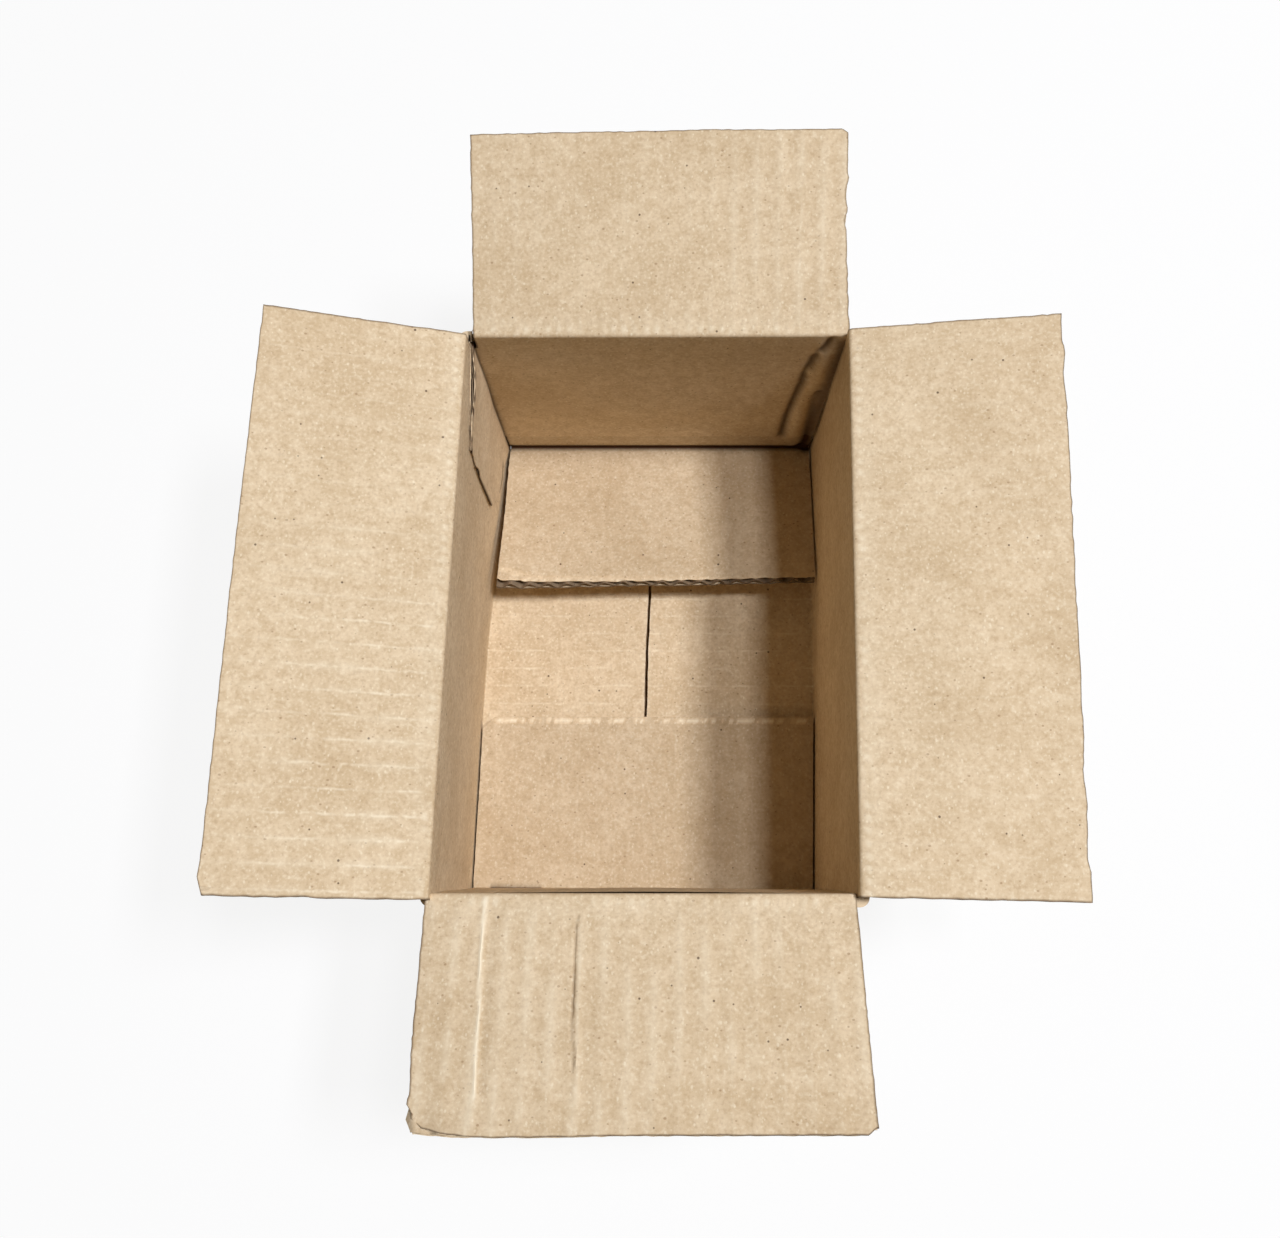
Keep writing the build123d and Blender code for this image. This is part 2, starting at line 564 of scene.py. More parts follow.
def settle(piece: Object, side: Side, rack: Rack) -> None:
    """Turn a piece from its panel's frame to the carton's, rack it, and shade it.

    Args:
        piece: A mesh in millimetres, along the hinge, outward and up.
        side: The side of the carton that it belongs to.
        rack: How the carton stands out of square.
    """
    take(piece)
    piece.data.transform(Matrix.Rotation(math.radians(side.value), 4, "Z"))
    co = corners_of(piece)
    set_corners(piece, (co + rack.shift(co)) * MM)
    bpy.ops.object.shade_smooth_by_angle(angle=CRISP_ANGLE)


def maths(operation: str, swapped: bool = False) -> Callable[[Wire, Wire | float], Wire]:
    """Write a method that adds a Math node on a wire and another value.

    Args:
        operation: The node's operation.
        swapped: Whether the other value comes first.

    Returns:
        The method.
    """

    def method(self: Wire, other: Wire | float) -> Wire:
        """Add the node."""
        return self.math(operation, *((other, self) if swapped else (self, other)))

    return method


class Wire:
    """A shader value that takes part in plain arithmetic."""

    def __init__(self, graph: Graph, socket: NodeSocket) -> None:
        """Hold a socket of this graph."""
        self.graph = graph
        self.socket = socket

    def math(self, operation: str, *values: Wire | float, clamp: bool = False) -> Wire:
        """Add a Math node on these values."""
        inputs = dict(enumerate(values))
        return self.graph.value("ShaderNodeMath", 0, inputs, operation=operation, use_clamp=clamp)

    __add__ = __radd__ = maths("ADD")
    __mul__ = __rmul__ = maths("MULTIPLY")
    __sub__ = maths("SUBTRACT")
    __rsub__ = maths("SUBTRACT", swapped=True)
    __truediv__ = maths("DIVIDE")
    over = maths("GREATER_THAN")

    def fraction(self) -> Wire:
        """Keep what is past the whole number."""
        return self.math("FRACT", self)

    def size(self) -> Wire:
        """Drop the sign."""
        return self.math("ABSOLUTE", self)

    def clamped(self) -> Wire:
        """Hold between 0 and 1."""
        return self.math("ADD", self, 0.0, clamp=True)

    def ramp(self, low: float, high: float) -> Wire:
        """Rise from 0 at low to 1 at high."""
        return ((self - low) / (high - low)).clamped()


class Graph:
    """The node graph of a material or a world."""

    def __init__(self, owner: Material | World) -> None:
        """Start with an empty graph.

        Args:
            owner: The material or world that it belongs to.
        """
        owner.use_nodes = True
        self.owner = owner
        self.tree = owner.node_tree
        self.tree.nodes.clear()

    def node(self, kind: str, inputs: Sockets | None = None, **settings: object) -> Node:
        """Add a node.

        Args:
            kind: The node's type.
            inputs: Values or wires for its input sockets, by name or number.
            **settings: Its own settings, which are set first.

        Returns:
            The new node.
        """
        made = self.tree.nodes.new(kind)
        for key, value in settings.items():
            setattr(made, key, value)
        for key, value in (inputs or {}).items():
            if isinstance(value, Wire):
                self.tree.links.new(value.socket, made.inputs[key])
            else:
                made.inputs[key].default_value = value
        return made

    def value(
        self, kind: str, output: str | int, inputs: Sockets | None = None, **settings: object
    ) -> Wire:
        """Add a node and take this output of it."""
        return Wire(self, self.node(kind, inputs, **settings).outputs[output])

    def place(self) -> Wire:
        """Give the place on the piece, in metres."""
        return self.value("ShaderNodeTexCoord", "Object")

    def camera_ray(self) -> Wire:
        """Give 1 for what the camera sees straight, and 0 for light."""
        return self.value("ShaderNodeLightPath", "Is Camera Ray")

    def attribute(self, name: str) -> Wire:
        """Give a number that the mesh carries."""
        return self.value("ShaderNodeAttribute", "Fac", attribute_name=name)

    def noise(self, place: Wire, size: float, detail: float = 3.0, rough: float = 0.5) -> Wire:
        """Give a noise with features of this size in millimetres."""
        inputs = {"Vector": place, "Scale": 1.0 / (size * MM), "Detail": detail, "Roughness": rough}
        return self.value("ShaderNodeTexNoise", "Fac", inputs)

    def stretched(self, place: Wire, turn: Sequence[float], stretch: Sequence[float]) -> Wire:
        """Turn and stretch the places that a pattern reads."""
        inputs = {"Vector": place, "Rotation": tuple(turn), "Scale": tuple(stretch)}
        return self.value("ShaderNodeMapping", 0, inputs, vector_type="POINT")

    def specks(self, place: Wire, cell: float, radius: float, share: float) -> Wire:
        """Scatter soft dots.

        Args:
            place: Where the pattern is read.
            cell: The distance between possible dots, in millimetres.
            radius: A dot's radius as a share of the cell.
            share: The share of the cells that have a dot.

        Returns:
            1 in a dot and 0 elsewhere.
        """
        smallest, softness = 0.4, 0.35
        made = self.node("ShaderNodeTexVoronoi", {"Vector": place, "Scale": 1.0 / (cell * MM)})
        draw = self.node("ShaderNodeSeparateColor", {0: Wire(self, made.outputs["Color"])})
        lucky = Wire(self, draw.outputs[0]).over(1.0 - share)
        size = Wire(self, draw.outputs[1]) * radius * (1.0 - smallest) + radius * smallest
        inside = size - Wire(self, made.outputs["Distance"])
        return (inside / (radius * softness)).clamped() * lucky

    def mix(self, share: Wire | float, a: object, b: object) -> Wire:
        """Mix two colours, from a at 0 to b at 1."""
        return self.value("ShaderNodeMix", 2, {0: share, 6: a, 7: b}, data_type="RGBA")

    def bump(self, height: Wire, distance: float, strength: float) -> Wire:
        """Turn a height from 0 to 1 into a normal, for a relief of this depth in millimetres."""
        inputs = {"Strength": strength, "Distance": distance * MM, "Height": height}
        return self.value("ShaderNodeBump", 0, inputs)

    def surface(self, shader: Wire) -> Material:
        """Close the graph with this shader."""
        self.node("ShaderNodeOutputMaterial", {"Surface": shader})
        return self.owner


def colour(picture: Sequence[int]) -> tuple[float, float, float, float]:
    """Turn a picture's colour, 0 to 255, into a shader's."""
    linear = [((c / 255.0 + 0.055) / 1.055) ** 2.4 for c in picture]
    return (*linear, 1.0)


@dataclass(frozen=True)
class KraftPaper:
    """Matte recycled kraft: mottled tan with pale and brown fibres and darker specks."""

    name: str = "kraft_board"
    base: tuple[int, int, int] = (223, 200, 165)
    light: tuple[int, int, int] = (234, 213, 180)
    shade: tuple[int, int, int] = (196, 169, 130)
    pale: tuple[int, int, int] = (251, 238, 210)
    brown: tuple[int, int, int] = (148, 112, 78)
    dark: tuple[int, int, int] = (62, 34, 10)
    roughness: float = 0.82
    specular: float = 0.25
    streak_width: float = 0.085
    relief: float = 0.12

    def material(self) -> Material:
        """Build the finish: mottling, fibres and specks, then what the mesh carries.

        Returns:
            The material.
        """
        g = Graph(bpy.data.materials.new(self.name))
        base, light, shade = map(colour, (self.base, self.light, self.shade))
        pale, brown, dark = map(colour, (self.pale, self.brown, self.dark))
        at = g.place()
        blotch = g.noise(at, 24.0, 2.0)
        cloud = g.noise(at, 3.4, 3.0, 0.55)
        grain = g.noise(at, 1.1, 2.0, 0.5)
        lengthways = g.stretched(at, (0.3, 0.2, 0.5), (1.0, 0.7, 0.6))
        crossways = g.stretched(at, (0.1, 0.4, -0.9), (0.75, 1.0, 0.7))
        sway = (g.noise(at, 5.0, 3.0) - 0.5) * 0.2
        off_line = ((g.attribute(FLUTE) + sway).fraction() - 0.5).size()
        line = off_line.ramp(self.streak_width, 0.0) * g.noise(at, 3.0, 3.0).ramp(0.36, 0.56)
        wear_and_painted_light = g.attribute(TONE)
        tint = g.mix(cloud.ramp(0.35, 0.65), shade, light)
        for share, paint in (
            (0.6, base),
            (blotch.ramp(0.4, 0.7) * 0.4, shade),
            (grain.ramp(0.54, 0.7) * 0.3, pale),
            (grain.ramp(0.46, 0.3) * 0.2, brown),
            (g.specks(lengthways, 1.3, 0.34, 0.4) * 0.4, pale),
            (g.specks(crossways, 1.7, 0.25, 0.35) * 0.5, brown),
            (g.specks(at, 5.2, 0.1, 0.5) * 0.8, dark),
            (line * g.attribute(STREAK), pale),
            # The mesh's tone: pale for torn or worn paper and for painted highlights on folds and
            # ridges; dark for painted shade in corners, creases and along cut edges, and for the
            # darker paper of the inner bottom flaps.
            (wear_and_painted_light.ramp(0.0, 1.0), pale),
            (wear_and_painted_light.ramp(0.0, -1.0), dark),
        ):
            tint = g.mix(share, tint, paint)
        shader = {
            "Base Color": tint,
            "Roughness": self.roughness,
            "Specular IOR Level": self.specular,
            "Normal": g.bump(cloud * 0.5 + grain * 0.4, self.relief, 0.45),
        }
        return g.surface(g.value("ShaderNodeBsdfPrincipled", 0, shader))


@dataclass(frozen=True)
class BuffTape:
    """Smooth buff film tape with fine drawn lines."""

    name: str = "packing_tape"
    film: tuple[int, int, int] = (176, 134, 84)
    deep: tuple[int, int, int] = (150, 108, 62)
    roughness: float = 0.3
    relief: float = 0.05

    def material(self) -> Material:
        """Build the finish.

        Returns:
            The material.
        """
        g = Graph(bpy.data.materials.new(self.name))
        at = g.place()
        drawn = g.noise(g.stretched(at, (0.0, 0.0, 0.0), (1.0, 0.04, 0.04)), 1.1, 2.0)
        cloud = g.noise(at, 9.0, 3.0)
        tint = g.mix(drawn.ramp(0.35, 0.7), colour(self.film), colour(self.deep))
        shader = {
            "Base Color": g.mix(cloud.ramp(0.4, 0.7) * 0.3, tint, colour(self.film)),
            "Roughness": drawn * 0.15 + (self.roughness - 0.08),
            "Normal": g.bump(drawn + cloud, self.relief, 0.5),
        }
        return g.surface(g.value("ShaderNodeBsdfPrincipled", 0, shader))


@dataclass(kw_only=True)
class Panel:
    """A wall or a lid flap: the board on one side of the carton.

    half is half the width of its flap, and low and high are the flap's side edges. marks are
    on the flap and wall_marks on the wall. Reliefs and tones read places along the hinge (s)
    and across it (u or q), in millimetres.
    """

    side: Side
    wall_face: float
    hinge_z: float
    board: Board
    rack: Rack
    half: float
    seed: int
    rise: float = 0.0
    low: Edge = Edge()
    high: Edge = Edge()
    marks: tuple[Mark, ...] = ()
    wall_marks: tuple[Mark, ...] = ()

    def _ply(self, path: Profile, paper: float, span: Pair | None = None, **looks: object) -> Object:
        """Make one ply.

        Args:
            path: Its fold.
            paper: Its thickness.
            span: Its width, where it isn't cut like the flap.
            **looks: What else it has.

        Returns:
            The ply, in the panel's frame.
        """
        sides = {} if span else {"low": self.low, "high": self.high}
        span = span or (-self.half, self.half)
        return Sheet("ply", path, span, paper, self.board, **{**sides, **looks}).make()

    def _finished(self, name: str, plies: Sequence[Object]) -> Object:
        """Join the plies, press the wall's marks into them and stand them in their place.

        Args:
            name: The piece's name.
            plies: Its plies, in the panel's frame.

        Returns:
            The piece.
        """
        piece = join(name, plies)
        press(piece, self.wall_marks, self.wall_face, self.hinge_z)
        settle(piece, self.side, self.rack)
        return piece


@dataclass(kw_only=True)
class LidFlap(Panel):
    """A lid flap with the fold that joins it to its wall.

    warp lifts it towards its inner side, in degrees, at the low and the high end of the hinge.
    """

    reach: float = 65.0
    fold_radius: float = 1.5
    wall_part: float = 6.0
    wave_start: float = 3.0
    wave_setback: float = 0.3
    # painted shade: the wave between the liners is darkened so that the cut edges show dark flute
    # hollows
    wave_shade: float = -0.14
    score_depth: float = 0.07
    blend_inset: float = 0.1
    blend_trim: float = 0.3
    ridges: float = 0.12
    streaks: float = 0.15
    bands: float = 0.2
    # painted shade along the inner liner's cut edges
    cut: float = -0.85
    waviness: float = 0.45
    ridge_share: Relief = even(1.0)
    warp: Pair = (0.0, 0.0)
    tip: Edge = Edge()
    inner_tip: Edge | None = None

    def _placed(self, points: Sequence[Pair], radii: Sequence[float] = ()) -> Profile:
        """Move a drawing from the hinge line to its place on the carton."""
        return Profile([(r + self.wall_face, z + self.hinge_z) for r, z in points], radii)

    def _inner_profile(self) -> Profile:
        """Draw the inner liner.

        Returns:
            Its path from the wall over the rim to the flap's free edge.
        """
        t, tilt = self.board.thickness, math.radians(self.rise)
        corner = (-t, t * math.tan((math.pi / 2.0 - tilt) / 2.0))
        r = self.reach * math.cos(tilt) - t * math.sin(tilt)
        z = self.reach * math.sin(tilt) + t * math.cos(tilt)
        return self._placed([(-t, -self.wall_part), corner, (r, z)], [self.fold_radius])

    def _along(self, first: float, last: float, height: float) -> Profile:
        """Draw a straight ply in the flap.

        Args:
            first: Where it starts, outward from the hinge.
            last: Where it ends.
            height: Its height over the flap's outer face.

        Returns:
            Its path.
        """
        c, s = math.cos(math.radians(self.rise)), math.sin(math.radians(self.rise))
        return self._placed([(u * c - height * s, u * s + height * c) for u in (first, last)])

    def _lift(self, s: Array, u: Array) -> Array:
        """Give the flap's own twist and waviness.

        Args:
            s: Places along the hinge.
            u: Places outward from it.

        Returns:
            Heights, which start at 0 at the fold.
        """
        twist = np.interp(s, (-self.half, self.half), self.warp)
        wavy = Rough(self.seed, (41.0, 29.0), self.waviness)(s, u)
        out = np.maximum(u, 0.0)
        return out * np.tan(np.radians(twist)) + wavy * smooth(out / 30.0)

    def _inner_relief(self, s: Array, u: Array) -> Array:
        """Press the flutes and the crushed score into the inner liner.

        Args:
            s: Places along the hinge.
            u: Places outward from it.

        Returns:
            Heights over the liner's face.
        """
        flutes = (self.board.ridge(s) - 1.0) * self.ridges * self.ridge_share(s, u)
        crushed = (self.board.beat(s, 2.0) - 1.0) * self.score_depth * bell(u, 1.0, 3.0)
        return flutes * smooth((u + 1.0) / 6.0) + crushed + self._lift(s, u)

    def _outer_relief(self, s: Array, u: Array) -> Array:
        """Press the flutes into the outer liner, whose face looks the other way."""
        return -self.board.ridge(s) * self.ridges * smooth(u / 6.0) - self._lift(s, u)

    def _wave_relief(self, s: Array, u: Array) -> Array:
        """Lay the wave between the liners."""
        return self.board.wave(s) + self._lift(s, u)

    def _inner_tone(self, s: Array, u: Array) -> Array:
        """Paint highlights on the inner liner.

        Args:
            s: Places along the hinge.
            u: Places outward from it.

        Returns:
            Tones: a painted highlight along the score and in beads over its crushed flutes, and soft
                painted highlights on the ridges.
        """
        soft = smooth(0.45 + Rough(self.seed + 3, (9.0, 14.0))(s, u))
        # All of these tones are painted highlights: on the flute ridges, along the bend of the score
        # and on the bumps of its crushed flutes.
        bands = self.bands * self.board.ridge(s) ** 2 * soft * self.ridge_share(s, u)
        beads = smooth(0.5 + 0.5 * self.board.beat(s, 2.0))
        patchy = smooth(0.5 + Rough(self.seed + 2, (5.0, 2.0))(s, u))
        painted_highlight = bands * smooth(u / 6.0) + 0.10 * bell(u, 1.8, 2.2)
        return painted_highlight + 0.5 * beads * patchy * bell(u, -0.6, 1.1)

    def _streak(self, s: Array, u: Array) -> Array:
        """Give how clearly the ridges show as pale lines, which come and go along them."""
        broken = smooth(0.75 + Rough(self.seed + 1, (5.0, 9.0))(s, u) * 0.6)
        return broken * self.streaks * self.ridge_share(s, u) * smooth(u / 3.0)

    def make(self) -> Object:
        """Build the flap, with the fold that joins it to its wall.

        Returns:
            The finished piece.
        """
        b, inner = self.board, self._inner_profile()
        outer = self._along(self.reach, 0.0, 0.0)
        between = self._along(self.wave_start, self.reach - self.wave_setback, b.thickness / 2.0)
        hinge_at = inner.length - self.reach
        under_marks = tuple(replace(mark, depth=-mark.depth, tone=0.0) for mark in self.marks)
        plies = [
            self._ply(inner, b.liner, step=1.5, bend_rows=10, marks=self.marks, cut=self.cut,
                      relief=self._inner_relief, tone=self._inner_tone, streak=self._streak,
                      end=self.inner_tip or self.tip, measure=lambda q: q - hinge_at),
            self._ply(outer, b.liner, step=3.0, relief=self._outer_relief, marks=under_marks,
                      start=self.tip, measure=lambda q: self.reach - q),
            self._ply(between, b.medium, step=3.5, relief=self._wave_relief, end=self.tip,
                      tone=even(self.wave_shade), measure=lambda q: q + self.wave_start),
        ]
        made = self._finished(f"{self.side.word}_flap_board", plies)
        self._blend(made)
        return made

    def _blend(self, made: Object) -> None:
        """Work out the hinge line as it stands, racked, and bake the piece's transform into its mesh.

        Args:
            made: The finished mesh.
        """
        middle, slope = self.rack.hinge(self.side, self.half, self.wall_face)
        turn = Matrix.Rotation(math.radians(self.side.value), 4, "Z")
        t = self.board.thickness
        start = Vector((0.0, self.wall_face - t + self.blend_inset + middle, self.hinge_z))
        step = Vector((-slope, 1.0, 0.0)) * ((t - self.blend_trim) / (1.0 + slope * slope))
        start, end = turn @ start * MM, turn @ (start + step) * MM
        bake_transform(made)


@dataclass(frozen=True)
class Corner:
    """The end of a wall's outer liner: the sharp corner's place, and the turn that it makes."""

    at: float
    sweep: float = 45.0


@dataclass(kw_only=True)
class Wall(Panel):
    """A wall with its bottom flap, as two liners and the wave at the flap's free edge.

    On the bottom flap, u is the distance from its free edge.
    """

    floor_z: float
    free_edge: float
    inner_half: float
    ends: tuple[Corner, Corner]
    corner_foot: float
    corner_top: float
    rim_part: float = 6.0
    outer_fold: float = 3.0
    inner_fold: float = 0.7
    seam_height: float = 12.0
    lap: float = 2.0
    wave_run: float = 16.0
    floor_ridges: float = 0.09
    floor_streaks: float = 0.0
    floor_tone: float = 0.0
    dashes: float = 0.35
    # painted shade: darkens the wave and the lower liner's cut edge under the bottom flap's free
    # edge, and the wave at the raw end
    lip_tone: float = -0.14
    wall_ridges: float = 0.03
    outer_ridges: float = 0.06
    wall_step: float = 2.2
    cap: bool = False
    raw_end: float = 0.0
    raw_run: float = 7.0
    raw_setback: float = 0.4
    edge: Edge = Edge()
    top_edge: Edge | None = None

    def _floor_tone(self, s: Array, u: Array) -> Array:
        """Rub the bottom flap pale at its free edge."""
        dashes = smooth(0.62 + Rough(self.seed + 2, (1.1, 2.0))(s, u) * 0.9)
        return self.floor_tone + self.dashes * dashes * bell(u, 0.0, 0.6)

    def _floor_streak(self, s: Array, u: Array) -> Array:
        """Give how clearly the bottom flap's ridges show as pale lines."""
        return self.floor_streaks * smooth(0.5 + Rough(self.seed + 1, (5.0, 9.0))(s, u) * 0.8)

    def _wavy(self, s: Array, u: Array) -> Array:
        """Give the soft waviness of the board."""
        return Rough(self.seed, (37.0, 31.0), 0.4)(s, u)

    def _nook(self) -> Pair:
        """Give the sharp corner of the inner fold, as (outward, up)."""
        t, rise = self.board.thickness, math.radians(self.rise)
        return self.wall_face - t, self.floor_z + t * (1.0 + math.sin(rise)) / math.cos(rise)

    def _bottom_flap(self) -> list[Object]:
        """Make the bottom flap with the foot of its wall.

        Returns:
            The upper liner, the lower one and the wave behind the free edge.
        """
        b, t, face = self.board, self.board.thickness, self.wall_face
        c, s = math.cos(math.radians(self.rise)), math.sin(math.radians(self.rise))
        slant = (face - self.free_edge) / c
        lip = np.array([face - slant * c, self.floor_z + slant * s])
        lip_top = lip + t * np.array([s, c])
        nook, heel = self._nook(), np.array([face, self.floor_z])
        run = float(np.linalg.norm(lip - heel))
        middle = lip + (lip_top - lip) / t * (t / 2.0)
        over = Profile([lip_top, nook, (nook[0], nook[1] + self.seam_height)], [self.inner_fold])
        under = Profile([(face, self.corner_foot + self.lap), heel, lip], [self.outer_fold])
        between = Profile([middle, middle + (heel - lip) / run * self.wave_run])

        def upper(s: Array, u: Array) -> Array:
            """Press the flutes into the upper liner."""
            flutes = (b.ridge(s) - 1.0) * self.floor_ridges
            return (flutes + self._wavy(s, u) * 0.5) * smooth((run - 5.0 - u) / 8.0)

        def lower(s: Array, q: Array) -> Array:
            """Press the flutes into the lower liner."""
            return -b.ridge(s) * self.floor_ridges * smooth((q - 12.0) / 8.0)

        def from_wall(edge: Edge) -> Edge:
            """Measure a side edge from the other end of the flap."""
            return replace(edge, line=tuple((under.length - u, off) for u, off in edge.line[::-1]))

        return [
            self._ply(over, b.liner, step=1.5, relief=upper, tone=self._floor_tone,
                      streak=self._floor_streak, marks=self.marks,
                      start=self.top_edge or self.edge),
            self._ply(under, b.liner, step=4.0, relief=lower, end=self.edge, cut=self.lip_tone,
                      low=from_wall(self.low), high=from_wall(self.high)),
            self._ply(between, b.medium, step=4.0, relief=lambda s, q: b.wave(s),
                      tone=even(self.lip_tone), start=self.edge),
        ]

    def _standing(self) -> list[Object]:
        """Make the wall itself.

        Returns:
            The inner liner, the strip over the corners' tops and the outer liner.
        """
        b, face = self.board, self.wall_face
        room, seam = self._nook()
        low, high = seam + self.seam_height, self.hinge_z - self.rim_part
        foot, top = self.corner_foot, self.corner_top

        def inner(s: Array, q: Array) -> Array:
            """Press the flutes faintly into the inner liner."""
            ends = smooth(q / 15.0) * smooth((high - low - q) / 12.0)
            return ((b.ridge(s) - 1.0) * self.wall_ridges + self._wavy(s, q)) * ends

        def outer(s: Array, q: Array) -> Array:
            """Press the flutes faintly into the outer liner."""
            return -b.ridge(s) * self.outer_ridges * smooth(q / 8.0) * smooth((top - foot - q) / 8.0)

        left, right = (self._outer_reach(end) for end in self.ends)
        wrapped = self._ply(Profile([(face, top), (face, foot)]), b.liner if self.raw_end else 0.0,
                            (-left, right), step=4.0, relief=outer)
        self._round_corners(wrapped)
        return [
            self._ply(Profile([(room, low), (room, high)]), 0.0,
                      (-self.inner_half, self.inner_half), step=self.wall_step, relief=inner),
            self._ply(Profile([(face, self.hinge_z), (face, top)]), 0.0, (-self.half, self.half),
                      step=2.5),
            wrapped,
        ]

    def _raw_plies(self) -> list[Object]:
        """Make the wall's raw end, which shows beside the fold of the glue tab.

        Returns:
            The inner liner and the wave.
        """
        b, foot, top = self.board, self.corner_foot + self.lap, self.corner_top
        room, middle = self.wall_face - b.thickness, self.wall_face - b.thickness / 2.0
        first, last = self.raw_end - self.raw_run, self.raw_end
        return [
            self._ply(Profile([(room, foot), (room, top)]), b.liner, (first, last), step=8.0),
            self._ply(Profile([(middle, foot), (middle, top)]), b.medium,
                      (first, last - self.raw_setback), step=8.0,
                      relief=lambda s, q: -b.wave(s), tone=even(self.lip_tone)),
        ]

    def make(self) -> Object:
        """Build the wall and its bottom flap.

        Returns:
            The finished piece.
        """
        made = [*self._bottom_flap(), *self._standing()]
        if self.cap:
            made += [self._corner_cap(sign, up) for sign in (-1.0, 1.0) for up in (True, False)]
        if self.raw_end:
            made += self._raw_plies()
        return self._finished(f"{self.side.word}_wall", made)

    def _outer_reach(self, end: Corner) -> float:
        """Give the length of the outer liner on one side of the middle, laid flat."""
        radius = self.outer_fold if end.sweep else 0.0
        return end.at - radius + radius * math.radians(end.sweep)

    def _round_corners(self, ply: Object) -> None:
        """Wrap the ends of the outer liner round the carton's corners.

        Args:
            ply: The outer liner, flat and too long by its bends.
        """
        co = corners_of(ply)
        out = self.outer_fold + co[:, 1] - self.wall_face
        for sign, end in zip((-1.0, 1.0), self.ends):
            if not end.sweep:
                continue
            flat = end.at - self.outer_fold
            past = np.clip(sign * co[:, 0] - flat, 0.0, None)
            a, bent = past / self.outer_fold, past > 0.0
            co[bent, 0] = (sign * (flat + out * np.sin(a)))[bent]
            co[bent, 1] = (self.wall_face - self.outer_fold + out * np.cos(a))[bent]
        set_corners(ply, co)

    def _corner_cap(self, sign: float, up: bool) -> Object:
        """Close a corner between its liners, within its rounded fold.

        Args:
            sign: -1 for the low end of the wall and 1 for the high one.
            up: Whether it is the corner's top or its foot.

        Returns:
            The cap.
        """
        t = self.board.thickness
        height = self.corner_top if up else self.corner_foot
        across = [(self.wall_face - t, height), (self.wall_face, height)]
        low, high = sorted((sign * self.half, sign * (self.inner_half + t)))
        cap = self._ply(Profile(across if up else across[::-1]), 0.0, (low, high), step=0.6)
        co = corners_of(cap)
        centre = np.array([self.inner_half + t, self.wall_face]) - self.outer_fold
        away = np.stack([np.abs(co[:, 0]), co[:, 1]], axis=1) - centre
        far = np.hypot(away[:, 0], away[:, 1])
        out = (away > 0.0).all(axis=1) & (far > self.outer_fold)
        kept = centre + away * (self.outer_fold / np.maximum(far, 1e-6))[:, None]
        co[out, 0] = sign * kept[out, 0]
        co[out, 1] = kept[out, 1]
        set_corners(cap, co)
        return cap


